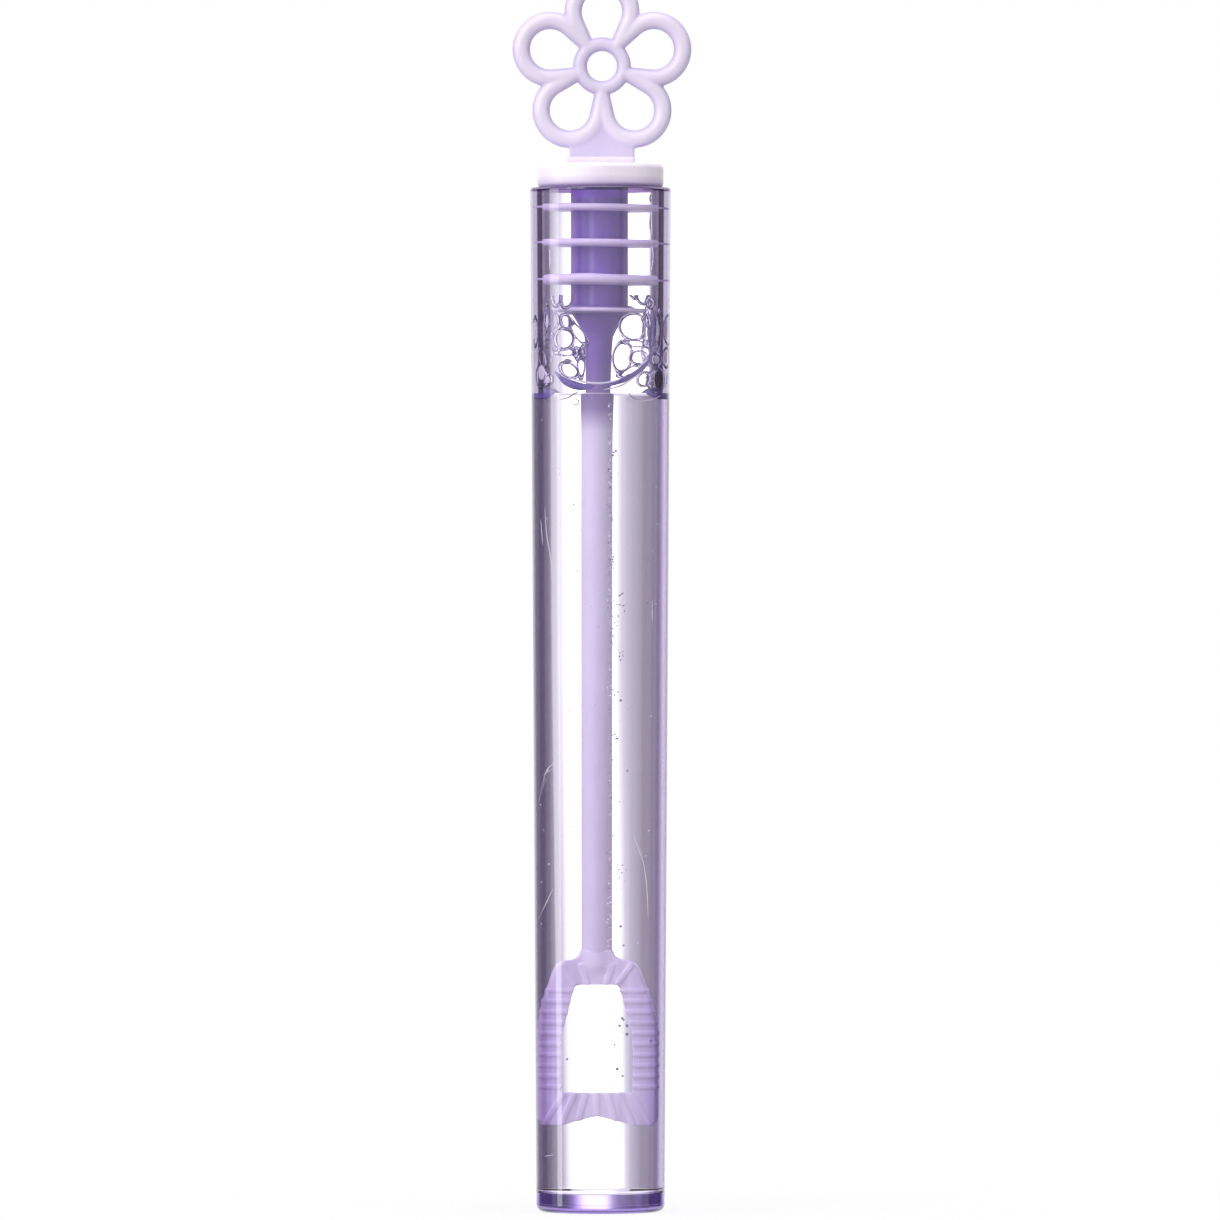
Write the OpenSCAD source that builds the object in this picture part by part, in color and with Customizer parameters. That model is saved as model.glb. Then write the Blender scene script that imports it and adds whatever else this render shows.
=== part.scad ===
// Bubble wand in its tube: a drafted clear tube that holds the bubble liquid, and a
// stopper whose flower handle, sealing plug, stem and ribbed loop lift out together.
// Millimetres. The origin is the middle of the tube's base on the surface it stands on,
// +Z is up and +X runs across the flower.

/* [Tube] */
// Height of the tube, from the surface it stands on to its rim
tube_h = 91; // [70:1:130]
// Outer diameter at the rim
rim_d = 12.5; // [12.3:0.1:16]
// Outer diameter at the base, smaller than the rim by the moulding draft
base_d = 11.4; // [11.2:0.1:12.4]
// Thickness of the side wall
wall = 1; // [0.6:0.05:1.1]
// Thickness of the floor
floor_t = 1.7; // [1:0.1:3]
// Radius of the rounded edge round the base
base_edge_r = 0.7; // [0.3:0.05:0.9]
// Radius of the rounded edges of the rim
rim_edge_r = 0.15; // [0.05:0.05:0.25]

/* [Stopper] */
// Diameter of the flange that rests on the rim
flange_d = 11.2; // [10.8:0.1:12.2]
// Thickness of the flange
flange_t = 2.1; // [1.2:0.1:3.5]
// Radius of the flange's rounded edges
flange_edge_r = 0.4; // [0.2:0.05:0.55]
// Diameter of the plug's core, as a share of the bore's diameter at the rim
core_share = 0.486; // [0.44:0.005:0.57]
// Running gap between a sealing fin and the bore
seal_gap = 0.05; // [0.02:0.01:0.15]
// Depth of the top sealing fin's middle below the rim
fin_1_depth = 1.8; // [1:0.1:3]
// Thickness of the top sealing fin
fin_1_t = 0.6; // [0.3:0.05:0.9]
// Depth of the middle sealing fin's middle below the rim
fin_2_depth = 4.95; // [4:0.05:6]
// Thickness of the middle sealing fin
fin_2_t = 0.65; // [0.3:0.05:0.9]
// Depth of the bottom sealing fin's middle below the rim
fin_3_depth = 8.2; // [7:0.1:9]
// Thickness of the bottom sealing fin
fin_3_t = 0.95; // [0.4:0.05:1.2]
// Depth of the lead-in fin's middle below the rim
lead_in_depth = 10.9; // [10.1:0.1:13]
// Thickness of the lead-in fin
lead_in_t = 0.8; // [0.4:0.05:1.2]
// Clearance all round between the lead-in fin and the bore
lead_in_gap = 0.78; // [0.5:0.02:1.5]

/* [Flower handle] */
// Height of the flower's middle above the flange
flower_h = 8.72; // [8.4:0.02:10]
// Number of petals
petals = 5; // [5:1:5]
// Distance from the flower's middle to the middle of a petal
petal_reach = 4.85; // [4.6:0.05:5.2]
// Radius of a petal's band, at the middle of the band
petal_r = 2.56; // [2.4:0.02:2.7]
// Angle past its half circle at which a petal's band runs into the shared bars
petal_close = 23; // [20:1:26]
// Thickness of a petal's round band
petal_band_d = 1.55; // [1.2:0.05:1.7]
// Radius of the centre ring's band, at the middle of the band
ring_r = 1.95; // [1.8:0.05:2.1]
// Thickness of the centre ring's round band
ring_band_d = 1.2; // [1:0.05:1.4]
// Width of the bar between two petals, at the centre ring
bar_w = 1.4; // [1.2:0.05:1.5]
// Thickness of those bars, front to back
bar_t = 1.3; // [1:0.05:1.4]
// Width of the flat web under the flower
web_w = 6; // [5:0.1:6.4]
// Thickness of the web, front to back
web_t = 1.2; // [0.8:0.1:1.5]
// Width of the foot that joins the web to the flange
foot_w = 6.6; // [6:0.1:8]
// Depth of the foot, front to back
foot_d = 2.6; // [1.6:0.1:4]
// Height of the foot
foot_h = 0.6; // [0.4:0.05:1]

/* [Wand] */
// Step in from the plug's core to the top of the cone under it
cone_step = 0.275; // [0.1:0.025:0.5]
// Height of the cone
cone_h = 2.3; // [1.8:0.1:4]
// Diameter of the stem where it leaves the cone
stem_top_d = 2.5; // [2.2:0.1:3]
// Height over which the stem thins from the cone to its shaft
stem_taper_h = 5; // [3:0.5:10]
// Diameter of the stem's shaft under that taper
stem_d = 2.1; // [1.8:0.05:2.2]
// Diameter of the stem where it meets the loop
stem_low_d = 2; // [1.6:0.05:2.1]
// Gap between the tube's floor and the loop
loop_floor_gap = 6.1; // [4.5:0.1:12]
// Clearance between the loop's edge and the bore
loop_clearance = 0.3; // [0.2:0.05:0.6]
// Height of the loop, without its neck
loop_h = 14.6; // [13.5:0.1:18]
// Height of the neck between the stem and the loop
neck_h = 0.6; // [0.4:0.05:1]
// Width of the loop's top edge, between its shoulders
shoulder_w = 4.7; // [4.2:0.1:5.2]
// Height of the loop's straight sides
side_h = 8.2; // [7:0.1:9]
// Height of the arch in the loop's bottom edge
arch_h = 0.8; // [0.4:0.05:1.2]
// Width of that arch
arch_w = 5.2; // [4:0.1:6]
// Height of the bar under the window, above the arch
bottom_bar_h = 2.1; // [1.6:0.05:2.6]
// Height of the bar over the window
top_bar_h = 2.1; // [1.6:0.05:2.6]
// Width of the window between its straight sides
window_w = 5; // [4.6:0.1:5.4]
// Width of the window's top
window_top_w = 3.3; // [2.8:0.1:4]
// Height of the window's straight sides
window_side_h = 5.1; // [4.6:0.1:6]
// Radius of the window's corners
window_corner_r = 0.5; // [0.3:0.05:0.7]
// Thickness of the loop's plate, front to back
plate_t = 0.9; // [0.6:0.05:1.2]
// Thickness of the loop over its ribs, front to back
rib_depth = 2; // [1.6:0.1:2.4]
// Width of a rib
rib_w = 0.36; // [0.25:0.01:0.5]
// Distance from one side rib to the next
rib_pitch = 0.95; // [0.8:0.05:1.3]
// Spacing of the ribs along the bottom bar's lower edge
bottom_rib_pitch = 0.95; // [0.8:0.05:1.3]
// Spacing of the ribs along the top bar's upper edge
top_rib_pitch = 0.9; // [0.8:0.05:1.3]
// How far a side rib stands out past the plate's edge
rib_proud = 0.1; // [0:0.02:0.15]

/* [Hidden] */
$fn = 64;

// Overrun of a cut past the face that it opens
cut = 0.2;
// Overlap of two shapes of one solid, so that they fuse
fuse = 0.05;

clear_violet = [0.62, 0.52, 0.80];
pale_lilac = [0.88, 0.82, 0.94];
lilac = [0.78, 0.70, 0.89];

// Radius of the bore at a height above the surface
function bore_r(z) = (base_d + (rim_d - base_d) * z / tube_h) / 2 - wall;

flange_z = tube_h;
foot_z = flange_z + flange_t;
web_z = foot_z + foot_h;
flower_z = foot_z + flower_h;
core_d = 2 * core_share * bore_r(tube_h);
core_low_z = tube_h - lead_in_depth - lead_in_t / 2;
cone_low_z = core_low_z - cone_h;
loop_z = floor_t + loop_floor_gap;
loop_top_z = loop_z + loop_h;
stem_low_z = loop_top_z + neck_h;

// The loop fills the bore's width at its lowest rib, less the clearance
loop_half_w = sqrt(pow(bore_r(loop_z) - loop_clearance, 2) - pow(rib_depth / 2, 2)) - rib_proud;
window_low_z = arch_h + bottom_bar_h;
window_top_z = loop_h - top_bar_h;
foot_corner = (loop_half_w - arch_w / 2) / 4;
shoulder_drop = top_bar_h / 4;
shoulder_out = shoulder_w / 2 + shoulder_drop;

// A disc section with rounded outer edges, from the axis outwards
module rounded_section(r, t, edge_r) {
    square([r - edge_r, t]);
    translate([0, edge_r]) square([r, t - 2 * edge_r]);
    for (y = [edge_r, t - edge_r]) translate([r - edge_r, y]) circle(edge_r);
}

// Half of the tube's section, standing on the axis
module tube_section() {
    base_r = base_d / 2;
    rim_r = rim_d / 2;
    difference() {
        union() {
            polygon([
                [0, 0], [base_r - base_edge_r, 0], [base_r, base_edge_r],
                [rim_r, tube_h - rim_edge_r], [rim_r - rim_edge_r, tube_h], [0, tube_h]
            ]);
            translate([base_r - base_edge_r, base_edge_r]) circle(base_edge_r);
            translate([rim_r - rim_edge_r, tube_h - rim_edge_r]) circle(rim_edge_r);
        }
        polygon([
            [0, floor_t], [bore_r(floor_t), floor_t],
            [bore_r(tube_h), tube_h], [bore_r(tube_h), tube_h + cut], [0, tube_h + cut]
        ]);
    }
}

module tube() {
    color(clear_violet, 0.5) rotate_extrude() tube_section();
}

// The round band of one petal, open towards the flower's middle, with its axis along +X
module petal() {
    half_turn = 90 + petal_close;
    translate([petal_reach, 0, 0]) rotate([0, 0, -half_turn])
        rotate_extrude(angle = 2 * half_turn)
            translate([petal_r, 0]) circle(d = petal_band_d);
}

// The bar that two petals share, from the centre ring out to the ends of their bands
module petal_bar() {
    end_x = petal_reach - petal_r * sin(petal_close);
    end_y = petal_r * cos(petal_close);
    half_sector = 180 / petals;
    far_x = end_x * cos(half_sector) + end_y * sin(half_sector);
    far_y = end_x * sin(half_sector) - end_y * cos(half_sector) + petal_band_d / 2;
    near_y = bar_w / 2;
    linear_extrude(bar_t, center = true) polygon([
        [ring_r, -near_y], [far_x, -far_y], [far_x, far_y], [ring_r, near_y]
    ]);
}

// The flat web from the foot up into the valley between the two lowest petals
module web() {
    valley_h = petal_reach * cos(180 / petals) + petal_band_d;
    low_h = flower_z - web_z;
    linear_extrude(web_t, center = true)
        difference() {
            translate([-web_w / 2, -low_h]) square([web_w, low_h - valley_h + petal_r]);
            for (side = [-1, 1])
                rotate(-90 + side * 180 / petals) translate([petal_reach, 0]) circle(petal_r);
        }
}

module flower_handle() {
    color(pale_lilac) translate([0, 0, flower_z]) rotate([90, 0, 0]) {
        rotate_extrude() translate([ring_r, 0]) circle(d = ring_band_d);
        for (i = [0 : petals - 1]) rotate([0, 0, 90 + i * 360 / petals]) {
            petal();
            rotate([0, 0, 180 / petals]) petal_bar();
        }
        web();
    }
}

module handle_foot() {
    color(pale_lilac) translate([-foot_w / 2, -foot_d / 2, foot_z])
        cube([foot_w, foot_d, foot_h]);
}

module cap_flange() {
    color(pale_lilac) translate([0, 0, flange_z])
        rotate_extrude() rounded_section(flange_d / 2, flange_t, flange_edge_r);
}

module plug_core() {
    color(lilac) translate([0, 0, core_low_z])
        cylinder(h = flange_z - core_low_z, d = core_d);
}

// A ring round the core at a depth below the rim, whose rounded lip keeps a gap to the bore
module fin(depth, t, gap) {
    low_z = tube_h - depth - t / 2;
    color(pale_lilac) translate([0, 0, low_z])
        rotate_extrude() difference() {
            rounded_section(bore_r(low_z) - gap, t, t / 2 - fuse);
            translate([0, -cut]) square([core_d / 2, t + 2 * cut]);
        }
}

module plug_cone() {
    top_r = core_d / 2 - cone_step;
    low_r = stem_top_d / 2;
    step = top_r - low_r;
    hollow_r = (step * step + cone_h * cone_h) / (2 * step);
    color(lilac) translate([0, 0, cone_low_z])
        rotate_extrude() difference() {
            square([top_r, cone_h]);
            translate([low_r + hollow_r, 0]) circle(hollow_r);
        }
}

module wand_stem() {
    taper_low_z = cone_low_z - stem_taper_h;
    color(lilac) {
        translate([0, 0, taper_low_z])
            cylinder(h = stem_taper_h, d1 = stem_d, d2 = stem_top_d);
        translate([0, 0, stem_low_z])
            cylinder(h = taper_low_z - stem_low_z, d1 = stem_low_d, d2 = stem_d);
    }
}

// The loop's outer outline, from its arched foot to its neck
module loop_outline() {
    half = [
        [arch_w / 2, 0], [loop_half_w - foot_corner, 0], [loop_half_w, foot_corner],
        [loop_half_w, side_h], [shoulder_out, loop_h - shoulder_drop],
        [shoulder_w / 2, loop_h], [stem_low_d, loop_h + neck_h / 4],
        [stem_low_d / 2 + neck_h / 4, loop_h + neck_h / 2], [stem_low_d / 2, loop_h + neck_h]
    ];
    last = len(half) - 1;
    polygon(concat(
        [[0, arch_h]], half, [for (i = [last : -1 : 0]) [-half[i].x, half[i].y]]
    ));
}

// The window, with round corners at its top
module window_outline() {
    top_x = window_top_w / 2;
    low_x = window_w / 2;
    r = window_corner_r;
    polygon([
        [-low_x, window_low_z], [low_x, window_low_z],
        [low_x, window_low_z + window_side_h], [top_x, window_top_z - r],
        [top_x - r, window_top_z], [-top_x + r, window_top_z],
        [-top_x, window_top_z - r], [-low_x, window_low_z + window_side_h]
    ]);
    for (side = [-1, 1]) translate([side * (top_x - r), window_top_z - r]) circle(r);
}

// Half the width of the loop, and of its window, at a height above the loop's foot
function loop_x(h) = h < side_h ? loop_half_w
    : loop_half_w + (shoulder_out - loop_half_w) * (h - side_h) / (loop_h - shoulder_drop - side_h);
function window_x(h) = h < window_low_z + window_side_h ? window_w / 2
    : window_w / 2 + (window_top_w - window_w) / 2 * (h - window_low_z - window_side_h)
        / (window_top_z - window_low_z - window_side_h);

// A rib as thick as the loop, from one point of its plane to another
module rib(from, to) {
    run = to - from;
    translate([from.x, from.y, 0]) rotate([0, 0, atan2(run.y, run.x)])
        translate([0, -rib_w / 2, -rib_depth / 2]) cube([norm(run), rib_w, rib_depth]);
}

// Level ribs up both sides of the window
module side_ribs() {
    for (side = [-1, 1], h = [window_low_z + rib_pitch / 2 : rib_pitch : window_top_z])
        rib([side * window_x(h), h], [side * (loop_x(h) + rib_proud), h]);
}

// Ribs that fan out from one edge of the window to the loop's edge beyond it
module fan_ribs(inner_w, inner_h, outer_w, outer_h, arch, pitch) {
    steps = floor(outer_w / 2 / pitch);
    for (i = [-steps : steps]) {
        share = i / steps;
        rise = arch * max(0, 1 - abs(share * outer_w / arch_w));
        rib([share * inner_w / 2, inner_h], [share * outer_w / 2, outer_h + rise]);
    }
}

module wand_loop() {
    color(lilac) translate([0, 0, loop_z]) rotate([90, 0, 0]) {
        linear_extrude(plate_t, center = true) difference() {
            loop_outline();
            window_outline();
        }
        side_ribs();
        fan_ribs(
            window_w, window_low_z, 2 * (loop_half_w - foot_corner), 0, arch_h,
            bottom_rib_pitch
        );
        fan_ribs(
            window_top_w - 2 * window_corner_r, window_top_z, shoulder_w, loop_h, 0,
            top_rib_pitch
        );
        translate([-stem_low_d / 2, loop_h - fuse, -rib_depth / 2])
            cube([stem_low_d, neck_h + fuse, rib_depth]);
    }
}

tube();
flower_handle();
handle_foot();
cap_flange();
plug_core();
fin(fin_1_depth, fin_1_t, seal_gap);  // seal_fin_top
fin(fin_2_depth, fin_2_t, seal_gap);  // seal_fin_middle
fin(fin_3_depth, fin_3_t, seal_gap);  // seal_fin_bottom
fin(lead_in_depth, lead_in_t, lead_in_gap);  // lead_in_fin
plug_cone();
wand_stem();
wand_loop();
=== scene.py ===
"""A bubble wand in its tube: the clear violet tube, the bubble liquid with its foam, and the
lilac stopper whose flower handle, sealing plug, stem and ribbed loop lift out together.
Sizes are millimetres, worked out from the frame where it holds them; meshes are in metres."""
import itertools
import math
import random

import bpy
import numpy as np
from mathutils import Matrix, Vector


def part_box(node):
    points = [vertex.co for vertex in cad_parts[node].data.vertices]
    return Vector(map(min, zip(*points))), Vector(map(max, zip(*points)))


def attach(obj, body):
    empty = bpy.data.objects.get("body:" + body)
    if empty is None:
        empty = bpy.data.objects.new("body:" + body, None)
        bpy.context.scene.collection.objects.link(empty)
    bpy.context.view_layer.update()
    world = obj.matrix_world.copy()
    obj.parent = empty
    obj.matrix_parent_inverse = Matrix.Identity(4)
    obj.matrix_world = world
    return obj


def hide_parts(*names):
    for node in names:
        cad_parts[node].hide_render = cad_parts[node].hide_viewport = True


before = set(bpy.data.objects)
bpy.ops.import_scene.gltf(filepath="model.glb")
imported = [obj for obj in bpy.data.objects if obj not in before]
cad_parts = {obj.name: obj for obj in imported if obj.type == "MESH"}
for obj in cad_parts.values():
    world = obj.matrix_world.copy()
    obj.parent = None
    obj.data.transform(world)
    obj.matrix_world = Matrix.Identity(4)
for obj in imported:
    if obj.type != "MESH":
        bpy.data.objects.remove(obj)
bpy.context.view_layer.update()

MM = 0.001
random.seed(7)

# Photograph: its side in pixels, the tube's middle column, the row of its base, and its scale
PHOTO_SIDE = 1220
PHOTO_MIDDLE_X = 600.5
PHOTO_BASE_Y = 1211.5
PHOTO_MM = 0.0889


def node_box(node):
    """A CAD node's lowest and highest corner, in millimetres."""
    low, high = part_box(node)
    return [v / MM for v in low], [v / MM for v in high]


def photo_x(px):
    return (px - PHOTO_MIDDLE_X) * PHOTO_MM


def photo_z(py):
    return (PHOTO_BASE_Y - py) * PHOTO_MM


# Tube
TUBE_H = node_box("tube")[1][2]
RIM_R = node_box("tube")[1][0]
BASE_R = 5.7
WALL = 1.0
FLOOR_T = 1.7
BASE_EDGE_R = 0.7
RIM_EDGE_R = 0.22
BORE_EDGE_R = 0.2

# Stopper
FLANGE_LOW, FLANGE_HIGH = node_box("cap_flange")
FLANGE_R = FLANGE_HIGH[0]
FLANGE_EDGE_R = 0.4
CORE_LOW, CORE_HIGH = node_box("plug_core")
CORE_R = CORE_HIGH[0]
CORE_BEVEL = 0.1
FIN_INNER_R = CORE_R - 0.1
CONE_TOP = node_box("plug_cone")[1][2]
LOOP_LOW, LOOP_HIGH = node_box("wand_loop")
FOOT_LOW, FOOT_HIGH = node_box("handle_foot")
FLOWER_LOW, FLOWER_HIGH = node_box("flower_handle")

# How the stopper sits: low on its right, its seals pressed into the bore, its plug a little off
# the middle to the left, and the wand leaning further left below the plug
STOPPER_TILT = math.radians(0.8)
PRESS = 0.02
PLUG_OFF = 0.1
LEAN = 0.15
LEAN_LENGTH = 5.0

# Flower, all from its middle
PETALS = 5
PETAL_REACH = 4.85
PETAL_R = 2.56
PETAL_CLOSE = math.radians(23)
PETAL_BAND_R = 0.775
RING_R = 1.95
RING_BAND_R = 0.62
BAR_END = 2.15
BAR_END_R = 0.6
FLOWER_Z = FOOT_LOW[2] + 8.72
FLOWER_X = 0.13
WEB_HALF_W = 2.88
FOOT_HALF_W = 3.06
WEB_HALF_T = 0.5

# Liquid
LIQUID_Z = photo_z(395)
MENISCUS_H = 0.12
MENISCUS_W = 0.5
WALL_OVERLAP = 0.02
GLASS_IOR = 1.59
LIQUID_IOR = 1.33


def outer_r(z):
    """Radius of the tube's outside at a height."""
    return BASE_R + (RIM_R - BASE_R) * z / TUBE_H


def bore_r(z):
    return outer_r(z) - WALL


def placed(name, data):
    """A new object of the scene with this data."""
    made = bpy.data.objects.new(name, data)
    bpy.context.scene.collection.objects.link(made)
    return made


def new_object(name, vertices, faces):
    """A smooth-shaded mesh object from points in millimetres."""
    mesh = bpy.data.meshes.new(name)
    mesh.from_pydata([tuple(c * MM for c in v) for v in vertices], [], faces)
    mesh.validate()
    mesh.polygons.foreach_set("use_smooth", [True] * len(mesh.polygons))
    return placed(name, mesh)


def arc(centre_r, centre_z, radius, start, end, steps=6):
    """Points (r, z) on an arc, its angles in degrees."""
    angles = [math.radians(start + (end - start) * i / steps) for i in range(steps + 1)]
    return [(centre_r + radius * math.cos(a), centre_z + radius * math.sin(a)) for a in angles]


def refined(profile, longest=1.5):
    """The profile with points added along its straight lines, so that shading stays even."""
    hold = 0.05
    points = [profile[0]]
    for (r0, z0), (r1, z1) in zip(profile, profile[1:]):
        run = math.hypot(r1 - r0, z1 - z0)
        pieces = math.ceil(run / longest)
        shares = [i / pieces for i in range(1, pieces)]
        if run > 6 * hold:
            shares = [hold / run] + shares + [1 - hold / run]
        points += [(r0 + (r1 - r0) * s, z0 + (z1 - z0) * s) for s in shares + [1]]
    return points


def circle(steps):
    """Angles evenly round a turn."""
    return [2 * math.pi * i / steps for i in range(steps)]


def skin(rings, closed=False):
    """The vertices and faces over rings of points, which run up the outside. A ring of one point
    is a pole. A closed skin joins its last ring to its first."""
    vertices, rows = [], []
    for ring in rings:
        rows.append(range(len(vertices), len(vertices) + len(ring)))
        vertices += ring
    faces = []
    for low, high in zip(rows, rows[1:] + (rows[:1] if closed else [])):
        for i in range(max(len(low), len(high))):
            quad = [row[j % len(row)] for row, j in ((low, i), (low, i + 1), (high, i + 1), (high, i))]
            faces.append(list(dict.fromkeys(quad)))
    return vertices, faces


def turned(profile, segments, place, closed=False):
    """The skin of a turned part. profile holds (r, z) points, and place(x, y, z) gives each
    point's final place."""
    return skin([[place(r * math.cos(turn), r * math.sin(turn), z)
                  for turn in circle(segments if r > 0 else 1)] for r, z in profile], closed)


def lathe(name, profile, segments=160, place=lambda *point: point, closed=False):
    return new_object(name, *turned(profile, segments, place, closed))


def iso_mesh(name, distance, low, high, step):
    """A closed mesh where distance(x, y, z) is 0, by surface nets on a grid of this step."""
    axes = [a + step * np.arange(math.ceil((b - a) / step) + 1) for a, b in zip(low, high)]
    grid = distance(*np.meshgrid(*axes, indexing="ij"))
    inside = grid < 0
    cells = [len(axis) - 1 for axis in axes]
    total = np.zeros(cells + [3])
    crossings = np.zeros(cells)

    def corner(offset, values):
        return values[tuple(slice(o, o + n) for o, n in zip(offset, cells))]

    for a, b in itertools.combinations(itertools.product((0, 1), repeat=3), 2):
        if sum(p != q for p, q in zip(a, b)) > 1:
            continue
        value_a, value_b = corner(a, grid), corner(b, grid)
        crossed = corner(a, inside) != corner(b, inside)
        share = np.where(crossed, value_a / np.where(crossed, value_a - value_b, 1), 0)
        crossings += crossed
        for axis in range(3):
            total[..., axis] += crossed * (a[axis] + share * (b[axis] - a[axis]))
    held = crossings > 0
    number = np.full(cells, -1)
    number[held] = np.arange(held.sum())
    places = np.argwhere(held) + total[held] / crossings[held][:, None]
    vertices = places * step + np.array(low)

    faces = []
    for axis in range(3):
        changed = inside != np.roll(inside, -1, axis)
        edge = [slice(1, -1)] * 3
        edge[axis] = slice(0, -1)
        at = np.argwhere(changed[tuple(edge)])
        at += [0 if i == axis else 1 for i in range(3)]
        around = []
        for da, db in ((0, 0), (-1, 0), (-1, -1), (0, -1)):
            cell = at.copy()
            cell[:, (axis + 1) % 3] += da
            cell[:, (axis + 2) % 3] += db
            around.append(number[tuple(cell.T)])
        quads = np.stack(around, 1)
        outward = inside[tuple(at.T)]
        quads[~outward] = quads[~outward][:, ::-1]
        faces += quads.tolist()
    return new_object(name, vertices.tolist(), faces)


def joined(a, b, blend):
    """The union of two distances, with a fillet about as wide as blend."""
    near = np.maximum(blend - np.abs(a - b), 0) / blend
    return np.minimum(a, b) - near * near * blend / 4


def box_distance(x, y, z, half, radius):
    """Distance to a box about the origin with rounded edges."""
    out = [np.abs(v) - h + radius for v, h in zip((x, y, z), half)]
    outside = np.sqrt(sum(np.maximum(v, 0) ** 2 for v in out))
    return outside + np.minimum(np.maximum(np.maximum(*out[:2]), out[2]), 0) - radius


def segment_distance(x, z, start, end):
    """Distance in the plane to a line segment, and how far along it the nearest point lies."""
    run_x, run_z = end[0] - start[0], end[1] - start[1]
    along = ((x - start[0]) * run_x + (z - start[1]) * run_z) / (run_x ** 2 + run_z ** 2)
    along = np.clip(along, 0, 1)
    return np.hypot(x - start[0] - along * run_x, z - start[1] - along * run_z), along


def polygon_distance(x, z, points):
    """Distance in the plane to a polygon, less than 0 inside it."""
    nearest = np.full(x.shape, np.inf)
    inside = np.zeros(x.shape, bool)
    for (x0, z0), (x1, z1) in zip(points, points[1:] + points[:1]):
        nearest = np.minimum(nearest, segment_distance(x, z, (x0, z0), (x1, z1))[0])
        crosses = (z0 > z) != (z1 > z)
        rise = z1 - z0 if z1 != z0 else 1
        inside ^= crosses & (x < (x1 - x0) * (z - z0) / rise + x0)
    return np.where(inside, -nearest, nearest)


def tilted(x, y, z):
    """Where a point of the plug goes, which sits a little low on its right."""
    return x - PLUG_OFF, y, z - math.tan(STOPPER_TILT) * x


def lean_at(z):
    """How far the wand's middle stands to the left at a height."""
    return -PLUG_OFF - LEAN * (1 - math.exp(-max(CONE_TOP - z, 0) / LEAN_LENGTH))


def leaned(x, y, z):
    return x + lean_at(z), y, z


# Materials

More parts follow.
